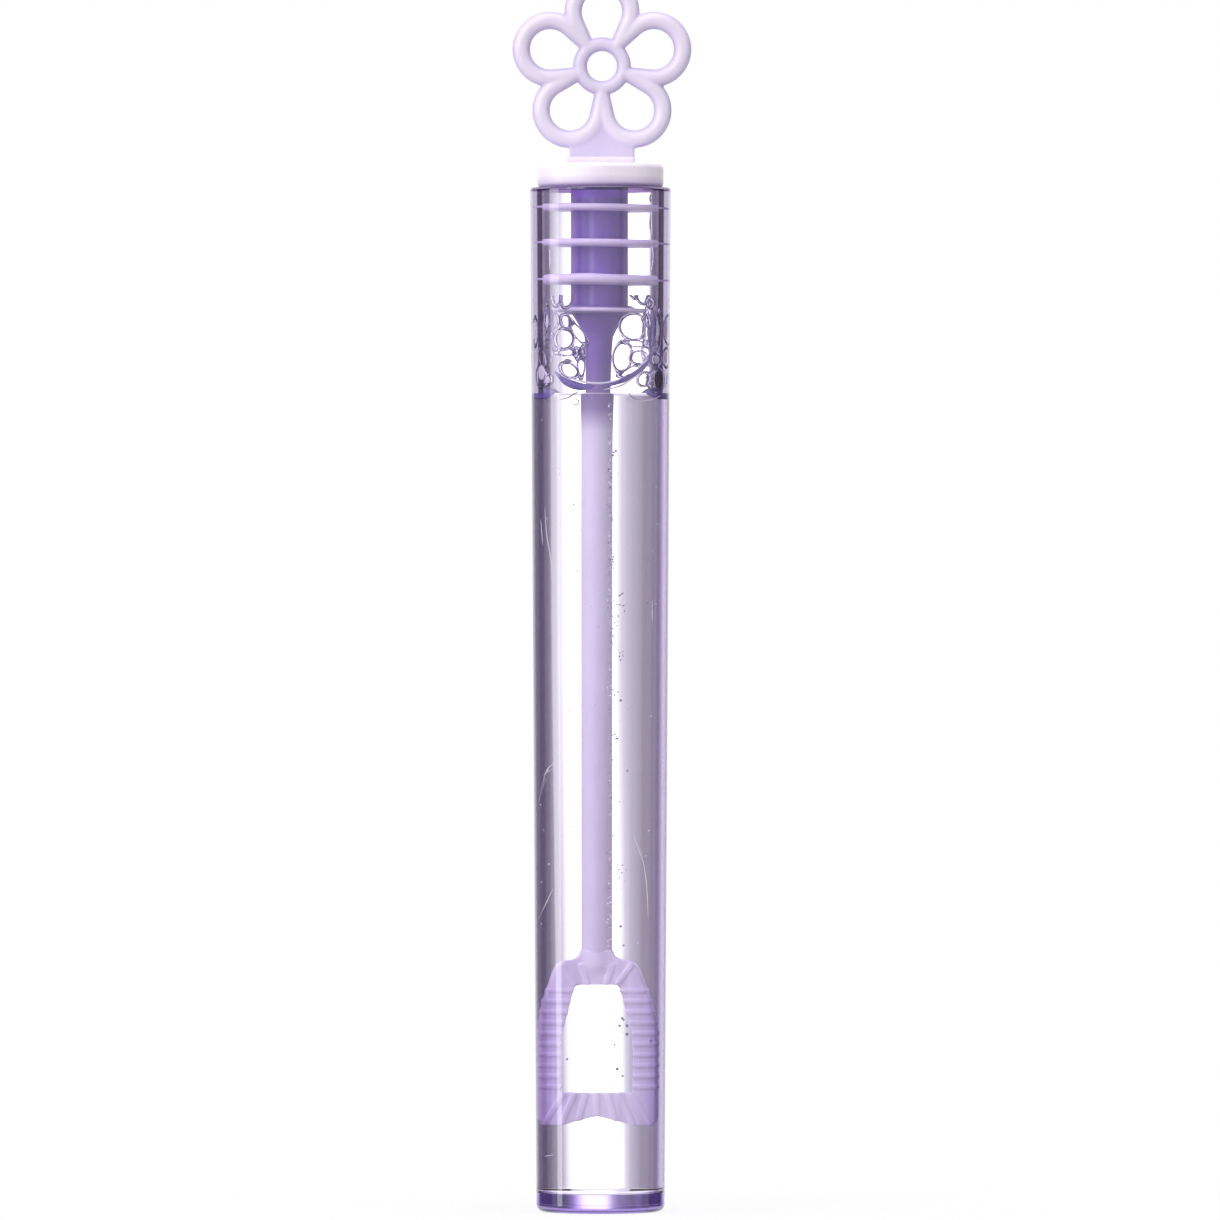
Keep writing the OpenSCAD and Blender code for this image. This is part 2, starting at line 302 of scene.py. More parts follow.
class Nodes:
    """A node tree, with short ways to add and join nodes."""

    def __init__(self, tree):
        self.tree = tree

    @classmethod
    def for_material(cls, name):
        material = bpy.data.materials.new(name)
        material.use_nodes = True
        nodes = cls(material.node_tree)
        nodes.material = material
        nodes.shader = nodes.tree.nodes["Principled BSDF"]
        nodes.output = nodes.tree.nodes["Material Output"]
        return nodes

    def add(self, kind, **values):
        """A node, with attributes and inputs set. An input's name has _ for its spaces."""
        made = self.tree.nodes.new("ShaderNode" + kind)
        for key, value in values.items():
            label = key.replace("_", " ")
            if label in made.inputs:
                made.inputs[label].default_value = value
            else:
                setattr(made, key, value)
        return made

    def link(self, source, target):
        """Feeds a socket from another, or gives it a number or a colour."""
        if isinstance(source, (int, float, tuple)):
            target.default_value = source
        else:
            self.tree.links.new(source, target)

    def link_all(self, sources, targets):
        for source, target in zip(sources, targets):
            self.link(source, target)

    def math(self, operation, *sources):
        made = self.add("Math", operation=operation)
        self.link_all(sources, made.inputs)
        return made.outputs["Value"]

    def times(self, *factors):
        product = factors[0]
        for factor in factors[1:]:
            product = self.math("MULTIPLY", product, factor)
        return product

    def rest(self, share):
        """What a share leaves of 1."""
        return self.math("SUBTRACT", 1.0, share)

    def mixed(self, share, low, high):
        """A number that goes from low to high as share goes from 0 to 1."""
        made = self.add("Mix", data_type="FLOAT")
        self.link_all((share, low, high), (made.inputs[0], made.inputs[2], made.inputs[3]))
        return made.outputs[0]

    def mixed_colour(self, share, first, second):
        made = self.add("Mix", data_type="RGBA")
        self.link_all((share, first, second), (made.inputs[0], made.inputs[6], made.inputs[7]))
        return made.outputs[2]

    def path(self, kind):
        return self.add("LightPath").outputs[kind]

    def facing(self):
        """0 where a surface is met squarely, and 1 at its edge."""
        return self.add("LayerWeight", Blend=0.5).outputs["Facing"]

    def parts(self, coordinates):
        """X, Y and Z of the object's or the world's coordinates."""
        split = self.add("SeparateXYZ")
        self.link(self.add("TexCoord").outputs[coordinates], split.inputs["Vector"])
        return split.outputs

    def place(self, kind):
        """The object's own X, Y or Z, its reach from the upright axis, or its depth from the
        plane that holds the flower and the loop, in metres."""
        parts = self.parts("Object")
        if kind == "depth":
            return self.math("ABSOLUTE", parts["Y"])
        if kind != "reach":
            return parts[kind]
        squares = [self.times(parts[axis], parts[axis]) for axis in "XY"]
        return self.math("SQRT", self.math("ADD", *squares))

    def noise(self, scale, detail=3.0, roughness=0.5, stretch=(1, 1, 1)):
        """Noise over the object's own coordinates, its scale in cycles per millimetre."""
        mapping = self.add("Mapping", Scale=[scale / MM * s for s in stretch])
        self.link(self.add("TexCoord").outputs["Object"], mapping.inputs["Vector"])
        texture = self.add("TexNoise", Scale=1.0, Detail=detail, Roughness=roughness)
        self.link(mapping.outputs["Vector"], texture.inputs["Vector"])
        return texture.outputs["Fac"]

    def ramp(self, source, stops):
        """A colour ramp from (position, colour) stops."""
        ramp = self.add("ValToRGB")
        elements = ramp.color_ramp.elements
        while len(elements) < len(stops):
            elements.new(1)
        for element, (position, colour) in zip(elements, stops):
            element.position = position
            element.color = (*colour, 1)
        self.link(source, ramp.inputs["Fac"])
        return ramp.outputs["Color"]

    def spread(self, source, low, high, start=0.3, end=0.7):
        """The source's range from start to end, spread from low to high. Noise fills about that
        of 0.3 to 0.7."""
        spread = self.add("MapRange", From_Min=start, From_Max=end, To_Min=low, To_Max=high)
        self.link(source, spread.inputs["Value"])
        return spread.outputs["Result"]

    def between(self, kind, start, end, low=0, high=1):
        """Goes from low to high between two places in millimetres."""
        return self.spread(self.place(kind), low, high, start * MM, end * MM)

    def set(self, **values):
        """Sets or feeds the shader's inputs, their names with _ for spaces."""
        for key, value in values.items():
            self.link(value, self.shader.inputs[key.replace("_", " ")])

    def show(self, share, first, second):
        """Gives the surface a mix of two shaders."""
        mix = self.add("MixShader")
        self.link_all((share, first, second), mix.inputs)
        self.link(mix.outputs["Shader"], self.output.inputs["Surface"])


def plastic(name, colours, roughness, glow=0.12, source=None, painted_top_light=None):
    """Moulded polyethylene: satin, slightly cloudy, with fine flow marks. colours are (place in
    millimetres, pale, deep) stops along the source, or one (pale, deep) pair. A lighter top band, painted
    light, takes over from one height in millimetres to the next."""
    nodes = Nodes.for_material(name)
    cloud = nodes.spread(nodes.noise(0.35, 4, 0.6, (1, 1, 0.4)), 0, 1)
    if source:
        start, end = colours[0][0], colours[-1][0]
        along = nodes.between(source, start, end)
        pale, deep = (nodes.ramp(along, [((stop[0] - start) / (end - start), stop[i])
                                         for stop in colours]) for i in (1, 2))
        if painted_top_light:
            low, high, crown_pale, crown_deep = painted_top_light
            rise = nodes.between("Z", low, high)
            pale = nodes.mixed_colour(rise, pale, (*crown_pale, 1))
            deep = nodes.mixed_colour(rise, deep, (*crown_deep, 1))
        nodes.set(Base_Color=nodes.mixed_colour(cloud, pale, deep))
    else:
        nodes.set(Base_Color=nodes.ramp(cloud, [(0, colours[0]), (1, colours[1])]))
    rough = nodes.spread(nodes.noise(1.6, 3), roughness - 0.06, roughness + 0.08)
    bump = nodes.add("Bump", Strength=0.25, Distance=0.01 * MM)
    nodes.link(nodes.noise(5, 2), bump.inputs["Height"])
    nodes.set(Roughness=rough, Normal=bump.outputs["Normal"], IOR=1.5, Subsurface_Weight=glow,
              Subsurface_Scale=0.8 * MM, Subsurface_Radius=(1.0, 0.75, 1.1))
    return nodes.material


def clear_material(name, ior, tint, roughness, absorbed=None, density=0.0, shadow=(1, 1, 1)):
    """A clear solid that lets the lamps' light through to what is behind it."""
    nodes = Nodes.for_material(name)
    rough = nodes.spread(nodes.noise(0.5, 2), roughness, roughness * 2)
    nodes.set(Base_Color=(*tint, 1), IOR=ior, Transmission_Weight=1.0, Roughness=rough)
    through = nodes.add("BsdfTransparent", Color=(*shadow, 1))
    nodes.show(nodes.path("Is Shadow Ray"), nodes.shader.outputs["BSDF"], through.outputs["BSDF"])
    if absorbed:
        volume = nodes.add("VolumeAbsorption", Color=(*absorbed, 1), Density=density)
        nodes.link(volume.outputs["Volume"], nodes.output.inputs["Volume"])
    return nodes


# Heights over which the tube's colours change, at the floor, the rim and the liquid, and the
# reach from its axis over which they do, half way into the wall
FLOOR_CHANGE = (FLOOR_T - 0.15, FLOOR_T + 0.05)
RIM_CHANGE = (TUBE_H - 0.36, TUBE_H - 0.3)
LIQUID_CHANGE = (LIQUID_Z - 0.05, LIQUID_Z + 0.05)
WALL_CHANGE = (5.65, 5.75)


def tube_material():
    """Clear violet polystyrene. Its colour paints shade: darker where it is met at a low angle, in the
    thick floor and on the bore above the liquid, as painted shade for the dark surroundings that its
    edges show, and dark along the rim's edge as a painted shadow under the flange."""
    nodes = clear_material("tube_glass", GLASS_IOR, (1, 1, 1), 0.01, (0.52, 0.34, 0.84), 110,
                           (0.95, 0.93, 0.97))
    facing = nodes.facing()
    wall = nodes.ramp(facing, [
        (0.25, (0.99, 0.98, 1)), (0.4, (0.86, 0.81, 0.92)), (0.5, (0.6, 0.52, 0.7)),
        (0.58, (0.58, 0.5, 0.68)), (0.66, (0.76, 0.7, 0.86)), (0.85, (0.78, 0.7, 0.88))])
    base = nodes.ramp(facing, [
        (0.02, (1, 0.99, 1)), (0.045, (0.82, 0.76, 0.95)), (0.08, (0.58, 0.47, 0.83)),
        (0.15, (0.52, 0.39, 0.78)), (0.3, (0.52, 0.39, 0.8)), (0.55, (0.44, 0.32, 0.7)),
        (0.75, (0.25, 0.17, 0.44))])
    dry = nodes.ramp(facing, [
        (0.3, (0.98, 0.97, 1)), (0.38, (0.84, 0.8, 0.9)), (0.45, (0.48, 0.42, 0.58)),
        (0.51, (0.21, 0.15, 0.3)), (0.62, (0.19, 0.13, 0.28)), (0.8, (0.15, 0.095, 0.23))])
    dry_bore = nodes.times(nodes.between("Z", *LIQUID_CHANGE),
                           nodes.between("reach", *WALL_CHANGE, 1, 0))
    colour = nodes.mixed_colour(dry_bore, wall, dry)
    colour = nodes.mixed_colour(nodes.between("Z", *FLOOR_CHANGE, 1, 0), colour, base)
    # A dark band along the rim: painted shadow under the flange
    colour = nodes.mixed_colour(nodes.between("Z", *RIM_CHANGE), colour, (0.16, 0.08, 0.26, 1))
    nodes.set(Base_Color=colour)
    return nodes.material


def foam_material():
    """The liquid between the foam's bubbles, its steep sides darkened as painted shade."""
    nodes = clear_material("foam", LIQUID_IOR, (1, 1, 1), 0.0, (0.42, 0.34, 0.58), 3600)
    nodes.set(Base_Color=nodes.ramp(nodes.facing(), [
        (0.1, (0.96, 0.94, 0.98)), (0.35, (0.70, 0.64, 0.78)), (0.7, (0.34, 0.29, 0.44))]))
    return nodes.material


# PALE_PAIR is the plastic's own pale lilac. DEEP_PAIR, CONE_PAIR and CORE_PAIR give the same plastic a
# deep violet on the plug and the wand's top, partly from its thickness and partly as painted shade.
PALE_PAIR = ((0.88, 0.78, 0.98), (0.83, 0.72, 0.95))
DEEP_PAIR = ((0.21, 0.11, 0.45), (0.165, 0.085, 0.385))
CONE_PAIR = ((0.27, 0.15, 0.54), (0.22, 0.12, 0.47))
CORE_PAIR = ((0.24, 0.12, 0.52), (0.195, 0.095, 0.45))
WAND_PAIR = ((0.78, 0.72, 0.87), (0.71, 0.64, 0.81))
STEM_PAIR = ((0.87, 0.82, 0.96), (0.80, 0.74, 0.89))
PALE = plastic("pale_plastic", PALE_PAIR, 0.36)
# The flower and its web are deeper lilac nearer their middle plane, along the flanks of their bands:
# painted shade.
HANDLE = plastic("handle_plastic", [
    (0.25, (0.57, 0.49, 0.77), (0.53, 0.45, 0.72)),
    (0.72, (0.83, 0.755, 0.9), (0.77, 0.69, 0.86))], 0.36, source="depth")
# The core's colour paints light and shade across it: the lighter left edge and the pale streak at -0.75
# mm are painted highlights, the darker band beside them and the darker right side are painted shade, and
# the top band from 89.8 to 90.3 mm is painted light where the flange shades it.
CORE = plastic("core_plastic", [
    (-2.5, (0.33, 0.23, 0.58), (0.29, 0.2, 0.53)), (-1.9, (0.19, 0.09, 0.44), (0.15, 0.07, 0.38)),
    (-1.1, (0.16, 0.07, 0.4), (0.13, 0.055, 0.35)), (-0.75, (0.31, 0.21, 0.56), (0.27, 0.18, 0.51)),
    (-0.4, *CORE_PAIR), (0.5, *CORE_PAIR), (1.3, (0.18, 0.075, 0.43), (0.145, 0.06, 0.37)),
    (2.4, (0.17, 0.065, 0.42), (0.14, 0.055, 0.36))],
    0.38, source="X", painted_top_light=(89.8, 90.3, (0.35, 0.13, 0.78), (0.3, 0.11, 0.7)))
CONE = plastic("cone_plastic", CONE_PAIR, 0.38)
# The flange is deeper violet towards its underside: painted shade.
FLANGE = plastic("flange_plastic", [
    (91, (0.62, 0.5, 0.8), (0.56, 0.45, 0.74)),
    (92, (0.94, 0.86, 0.98), (0.9, 0.81, 0.95))], 0.34, source="Z")
# The loop is deeper violet towards its sides: painted shade.
WAND = plastic("wand_plastic", [
    (1.5, (0.87, 0.8, 0.95), (0.8, 0.725, 0.9)),
    (3.6, (0.68, 0.57, 0.86), (0.62, 0.515, 0.8))], 0.4, source="reach")
# The stem turns deep violet just above the liquid and up to the cone: painted shade. Below that it is
# paler in the liquid and greyer towards its foot.
STEM = plastic("stem_plastic", [
    (28, *WAND_PAIR), (50, (0.82, 0.765, 0.91), (0.75, 0.685, 0.85)), (66, *STEM_PAIR),
    (69.3, *STEM_PAIR), (71.3, (0.385, 0.285, 0.56), (0.33, 0.24, 0.49)),
    (72.5, (0.38, 0.265, 0.57), (0.32, 0.22, 0.5)), (76, *CONE_PAIR)], 0.4, source="Z")
# The lead-in fin's hub takes the plug's deep violet, painted shade; its thin lip is the pale plastic.
LEAD_IN = plastic("lead_in_plastic", [(3, *DEEP_PAIR), (3.6, *PALE_PAIR)], 0.4, source="reach")
GLASS = tube_material()
LIQUID = clear_material("bubble_liquid", LIQUID_IOR, (0.99, 0.985, 0.995), 0.0).material
FOAM = foam_material()
# The violet ribbons where the meniscus and large bubbles meet the bore are painted shade: the liquid
# itself is clear.
FILM = plastic("painted_shade_ribbon", ((0.17, 0.11, 0.45), (0.12, 0.08, 0.33)), 0.25)
# White plastic for the scratches on the tube and the fine pale dots, and for the pale arcs and bright
# spots, which are painted highlights.
MARK = plastic("scratch_and_highlight", ((0.95, 0.94, 0.96), (0.88, 0.86, 0.9)), 0.5)
# Dark plastic for specks in the liquid, and for the dark arcs, which are painted shade.
SPECK = plastic("speck_and_shade", ((0.28, 0.25, 0.33), (0.20, 0.18, 0.25)), 0.4, 0.0)
# A near-black oval against the bore on the right: painted shade.
SHADE = plastic("painted_shade_spot", ((0.05, 0.03, 0.07), (0.035, 0.02, 0.055)), 0.3, 0.0)


def dress(piece, material, body, slot, *nodes):
    """Gives a piece its material and body, and hides the CAD nodes that it stands for; slot is not used.
    """
    piece.data.materials.clear()
    piece.data.materials.append(material)
    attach(piece, body)
    if nodes:
        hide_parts(*nodes)


# Tube

def make_tube():
    rim_low = TUBE_H - RIM_EDGE_R
    profile = [(0, 0), (BASE_R - BASE_EDGE_R, 0)]
    profile += arc(BASE_R - BASE_EDGE_R, BASE_EDGE_R, BASE_EDGE_R, -90, 0)[1:]
    profile += arc(RIM_R - RIM_EDGE_R, rim_low, RIM_EDGE_R, 0, 90)
    profile += arc(bore_r(TUBE_H) + RIM_EDGE_R, rim_low, RIM_EDGE_R, 90, 180)
    profile += arc(bore_r(FLOOR_T) - BORE_EDGE_R, FLOOR_T + BORE_EDGE_R, BORE_EDGE_R, 0, -90)
    return lathe("tube_glass", refined(profile + [(0, FLOOR_T)]), 192)


def make_liquid():
    """The liquid, which climbs the wall a little. It reaches just into the wall and floor, so
    that no air is left between them."""
    low, bevel = FLOOR_T - WALL_OVERLAP, 0.3
    wall_low, wall_high = bore_r(low) + WALL_OVERLAP, bore_r(LIQUID_Z) + WALL_OVERLAP
    profile = [(0, low), (wall_low - bevel, low), (wall_low, low + bevel)]
    for i in range(11):
        away = MENISCUS_W * i / 10
        profile.append((wall_high - away, LIQUID_Z + MENISCUS_H * (1 - away / MENISCUS_W) ** 2))
    return lathe("bubble_liquid", refined(profile + [(0, LIQUID_Z)]), 192)


dress(make_tube(), GLASS, "tube", "clear_tube", "tube")
dress(make_liquid(), LIQUID, "tube", "bubble_liquid")


# Stopper

def make_flange():
    low, high, edge = FLANGE_LOW[2], FLANGE_HIGH[2], FLANGE_EDGE_R
    profile = [(0, low), (FLANGE_R - edge, low)]
    profile += arc(FLANGE_R - edge, low + edge, edge, -90, 0)[1:]
    profile += arc(FLANGE_R - edge, high - edge, edge, 0, 90)
    return lathe("cap_flange_turned", refined(profile + [(0, high)]))


def make_fin(node, waves):
    """A seal, pressed against the bore, whose lip may wave a little."""
    bottom, top = (corner[2] for corner in node_box(node))
    radius = bore_r(bottom) + PRESS
    lip = (top - bottom) * 0.45
    profile = [(FIN_INNER_R, bottom)]
    profile += arc(radius - lip, (top + bottom) / 2, lip, -90, 90, 8) + [(FIN_INNER_R, top)]

    def waved(x, y, z):
        turn = math.atan2(y, x)
        out = max(math.hypot(x, y) - CORE_R, 0) / (radius - CORE_R)
        rise = waves * out * (math.sin(3 * turn + 0.6) + 0.5 * math.sin(7 * turn + 2))
        return x, y, z - math.tan(STOPPER_TILT) * x + rise
    return lathe(node + "_turned", refined(profile, 0.5), 160, waved, True)


def make_lead_in():
    """The lead-in fin: a hub that the cone grows from, with a thin lip round it."""
    low, high = node_box("lead_in_fin")
    bottom, top, radius = low[2], high[2], high[0]
    hub_r, lip = CORE_R + 0.6, 0.17
    middle = (bottom + top) / 2
    profile = [(FIN_INNER_R, bottom), (hub_r - 0.2, bottom), (hub_r, bottom + 0.15)]
    profile += [(hub_r + 0.1, middle - lip)] + arc(radius - lip, middle, lip, -90, 90)
    profile += [(hub_r + 0.1, middle + lip), (hub_r, top - 0.15), (hub_r - 0.2, top)]
    profile.append((FIN_INNER_R, top))
    return lathe("lead_in_fin_turned", refined(profile, 0.5), 160, tilted, True)


def make_core():
    """The plug's core, its lower edge bevelled."""
    low, high = CORE_LOW[2], CORE_HIGH[2]
    profile = [(0, low), (CORE_R - CORE_BEVEL, low), (CORE_R, low + CORE_BEVEL)]
    return lathe("plug_core_turned", refined(profile + [(CORE_R, high), (0, high)]), 96, tilted)


# Half widths of the wand's shaft at heights, as measured: the cone, and the stem under it
CONE_PROFILE = [(0, 1.24), (0.15, 1.29), (0.3, 1.42), (0.5, 1.68), (0.7, 1.96), (0.88, 2.22), (1, 2.4)]
STEM_PROFILE = [(0, 1.03), (0.84, 1.05), (0.9, 1.1), (0.95, 1.14), (0.98, 1.18), (1, 1.24)]


def make_shaft(node, shares):
    """A turned length of the wand, its profile as (share of its height, radius)."""
    low, high = (corner[2] for corner in node_box(node))
    profile = [(0, low)] + [(radius, low + (high - low) * share) for share, radius in shares]
    return lathe(node + "_turned", refined(profile + [(0, high)], 1.0), 96, leaned)


dress(make_flange(), FLANGE, "stopper", "pale_plastic", "cap_flange")
for node, waves in (("seal_fin_top", 0), ("seal_fin_middle", 0), ("seal_fin_bottom", 0.05)):
    dress(make_fin(node, waves), PALE, "stopper", "pale_plastic", node)
dress(make_lead_in(), LEAD_IN, "stopper", "wand_plastic", "lead_in_fin")
dress(make_core(), CORE, "stopper", "wand_plastic", "plug_core")
for node, shares, material in (("plug_cone", CONE_PROFILE, CONE), ("wand_stem", STEM_PROFILE, STEM)):
    dress(make_shaft(node, shares), material, "stopper", "wand_plastic", node)


# Flower handle, by distances in its own plane

def flower_distance(x, y, z):
    u, v = x, z - FLOWER_Z
    reach = np.hypot(u, v)
    solid = np.hypot(reach - RING_R, y) - RING_BAND_R
    sector = 2 * math.pi / PETALS
    petals = np.full(x.shape, np.inf)
    for i in range(PETALS):
        axis = math.pi / 2 + i * sector
        along = u * math.cos(axis) + v * math.sin(axis) - PETAL_REACH
        across = -u * math.sin(axis) + v * math.cos(axis)
        opening = np.abs(np.arctan2(across, along)) > math.pi / 2 + PETAL_CLOSE
        band = np.where(opening, np.inf, np.abs(np.hypot(along, across) - PETAL_R))
        end = (-PETAL_R * math.sin(PETAL_CLOSE), PETAL_R * math.cos(PETAL_CLOSE))
        bar_end = (BAR_END * math.cos(sector / 2) - PETAL_REACH, BAR_END * math.sin(sector / 2))
        side, share = segment_distance(along, np.abs(across), end, bar_end)
        bar = np.hypot(side, y) - PETAL_BAND_R + share * (PETAL_BAND_R - BAR_END_R)
        petals = joined(petals, np.minimum(np.hypot(band, y) - PETAL_BAND_R, bar), 0.12)
    return joined(solid, petals, 0.1)


def web_distance(x, y, z):
    """The flat web under the flower, which fills the valley between the two lowest petals."""
    low, high = FOOT_HIGH[2] - 0.3, FLOWER_Z - PETAL_REACH
    middle = (low + high) / 2
    plate = np.maximum(np.abs(x) - WEB_HALF_W, np.abs(z - middle) - (high - low) / 2)
    for side in (-1, 1):
        axis = -math.pi / 2 + side * math.pi / PETALS
        petal = np.hypot(x - PETAL_REACH * math.cos(axis), z - FLOWER_Z - PETAL_REACH * math.sin(axis))
        plate = np.maximum(plate, PETAL_R - petal)
    return np.maximum(plate, np.abs(y) - WEB_HALF_T)


def handle_distance(x, y, z):
    foot_middle = (FOOT_LOW[2] + FOOT_HIGH[2]) / 2
    foot_half = (FOOT_HALF_W, FOOT_HIGH[1], (FOOT_HIGH[2] - FOOT_LOW[2]) / 2)
    foot = box_distance(x, y, z - foot_middle, foot_half, 0.12)
    web = joined(web_distance(x - FLOWER_X, y, z), foot, 0.15)
    return joined(flower_distance(x - FLOWER_X, y, z), web, 0.2)


def make_handle():
    low = (FLOWER_LOW[0] - 0.3, -1.6, FOOT_LOW[2] - 0.3)
    high = (FLOWER_HIGH[0] + 0.3, 1.6, FLOWER_HIGH[2] + 0.3)
    return iso_mesh("flower_handle_moulded", handle_distance, low, high, 0.12)


dress(make_handle(), HANDLE, "stopper", "pale_plastic", "flower_handle", "handle_foot")


# Wand loop, by distances in its own plane

LOOP_HALF_W = 4.18
NOTCH_H = 0.85
NOTCH_HALF_W = 2.6
WINDOW_H = 2.9
WINDOW_LOW = LOOP_LOW[2] + WINDOW_H
WINDOW_TOP = photo_z(983.5)
PLATE_HALF_T = 0.75
RIB_HALF_W = 0.15
RIB_HALF_T = 0.82
SIDE_RIBS = 10
RIB_STEP = 0.95

# Towards its sides the loop gets thinner on each face: from where, over what width, how much
THIN_FROM = 2.4
THIN_W = 1.8
THIN_BY = 0.3


def mirrored(half):
    """The whole of an outline in the loop's plane."""
    right = [(x, LOOP_LOW[2] + h) for x, h in half]
    return right + [(-x, z) for x, z in reversed(right)]


# Right-hand halves of the loop's outline and of its window: half width, height from the foot
LOOP_HALF = [
    (NOTCH_HALF_W, 0), (3.77, 0), (LOOP_HALF_W, 0.45), (LOOP_HALF_W, 8.3), (3.95, 9.9), (3.6, 11.3),
    (3.2, 12.6), (2.95, 13.6), (2.7, 14.2), (2.3, 14.6), (1.55, 14.75), (1.15, 15.1), (1.0, 15.5),
]
WINDOW_HALF = [(2.5, WINDOW_H), (2.5, 8), (2.08, 9.85), (1.62, 12.1), (1.45, 12.4), (1.1, 12.5)]
LOOP_OUTLINE = [(0, LOOP_LOW[2] + NOTCH_H)] + mirrored(LOOP_HALF)
WINDOW_OUTLINE = mirrored(WINDOW_HALF)


def half_w_at(half, z):
    return float(np.interp(z, [LOOP_LOW[2] + h for _, h in half], [x for x, _ in half]))


def rib_lines():
    """Each rib's two ends in the loop's plane: level on the sides, fanned on both bars."""
    foot = LOOP_LOW[2]
    lines = []
    for side in (-1, 1):
        for i in range(SIDE_RIBS):
            z = WINDOW_LOW + 0.5 + RIB_STEP * i
            inner, outer = half_w_at(WINDOW_HALF, z) + RIB_HALF_W, half_w_at(LOOP_HALF, z) - 0.08
            lines.append(((side * inner, z), (side * outer, z)))
    for i in range(-3, 4):
        share = i / 3
        rise = NOTCH_H * max(0, 1 - abs(share) * 3.9 / NOTCH_HALF_W)
        lines.append(((share * 2.4, WINDOW_LOW - RIB_HALF_W),
                      (share * 3.75, foot + rise + RIB_HALF_W)))
    for share in (-1, -0.45, 0.45, 1):
        lines.append(((share * 1.5, WINDOW_TOP + RIB_HALF_W), (share * 2.4, foot + 14.2)))
    return lines


def loop_distance(x, y, z):
    plate = np.maximum(polygon_distance(x, z, LOOP_OUTLINE), -polygon_distance(x, z, WINDOW_OUTLINE))
    thin = THIN_BY * np.clip((np.abs(x) - THIN_FROM) / THIN_W, 0, 1)
    solid = np.maximum(plate, np.abs(y) - PLATE_HALF_T + thin)
    ribs = np.full(x.shape, np.inf)
    for start, end in rib_lines():
        flat, _ = segment_distance(x, z, start, end)
        ribs = np.minimum(ribs, np.maximum(flat - RIB_HALF_W, np.abs(y) - RIB_HALF_T + thin))
    solid = joined(solid, ribs, 0.15)
    below = np.maximum(LOOP_HIGH[2] - 0.9 - z, 0)
    neck = np.maximum(np.sqrt(x ** 2 + y ** 2 + below ** 2) - 1.0, z - LOOP_HIGH[2] - 0.1)
    return joined(solid, neck, 0.5)


def make_loop():
    low = (-4.7, -1.3, LOOP_LOW[2] - 0.3)
    high = (4.7, 1.3, LOOP_HIGH[2] + 0.7)
    piece = iso_mesh("wand_loop_moulded", loop_distance, low, high, 0.07)
    for v in piece.data.vertices:
        v.co.x += lean_at(v.co.z / MM) * MM
    return piece


dress(make_loop(), WAND, "stopper", "wand_plastic", "wand_loop")


# Foam, films and marks

def bore_turn(x, z):
    """The angle round the bore, from the front towards the right, that shows at a place across
    the photograph, worked out by the refraction in the tube's wall."""
    sines = [x / outer_r(z), x / (GLASS_IOR * outer_r(z)), x / (GLASS_IOR * bore_r(z))]
    turns = [math.asin(max(-1, min(1, sine))) for sine in sines]
    return turns[0] - turns[1] + turns[2]


def round_wall(turn, z, inset):
    """A point near the bore, at an angle in radians from the front towards the right."""
    reach = bore_r(z) - inset
    return Vector((reach * math.sin(turn), -reach * math.cos(turn), z))


def in_photo(px, py, inset):
    """The point near the bore's front that shows at a place in the photograph."""
    x, z = photo_x(px), photo_z(py)
    return round_wall(bore_turn(x, z), z, inset)


def strand(points, radii, sides=8, flat=1.0):
    """The skin of a thin thread along points near the bore. A flat one is that much thinner
    towards the middle of the tube than it is wide."""
    rings = []
    for before, point, after, radius in zip(points[:1] + points, points, points[1:] + points[-1:], radii):
        along = (after - before).normalized()
        outward = Vector((point.x, point.y, 0)).normalized()
        first = (outward - along * outward.dot(along)).normalized()
        second = along.cross(first)
        rings.append([point + radius * (flat * first * math.cos(turn) + second * math.sin(turn))
                      for turn in circle(sides)])
    vertices, faces = skin(rings)
    ends = [list(range(sides))[::-1], list(range(len(vertices) - sides, len(vertices)))]
    return vertices, faces + ends


def swelling(count, ends, middle):
    """The radii of a thread of this many points, which swells from its ends to its middle."""
    return [ends + (middle - ends) * math.sin(math.pi * i / (count - 1)) for i in range(count)]


def merged(name, parts):
    """One piece from several (vertices, faces) parts."""
    vertices, faces = [], []
    for part_vertices, part_faces in parts:
        base = len(vertices)
        vertices += part_vertices
        faces += [[base + v for v in face] for face in part_faces]
    return new_object(name, vertices, faces)


def smooth_path(knots, steps=8):
    """Points of a smooth curve through knots, by Catmull-Rom."""
    ends = [2 * knots[0] - knots[1]] + knots + [2 * knots[-1] - knots[-2]]
    points = []
    for a, b, c, d in zip(ends, ends[1:], ends[2:], ends[3:]):
        for i in range(steps):
            t = i / steps
            points.append(0.5 * (2 * b + (c - a) * t + (2 * a - 5 * b + 4 * c - d) * t * t
                                 + (3 * b - a - 3 * c + d) * t ** 3))
    return points + [knots[-1]]


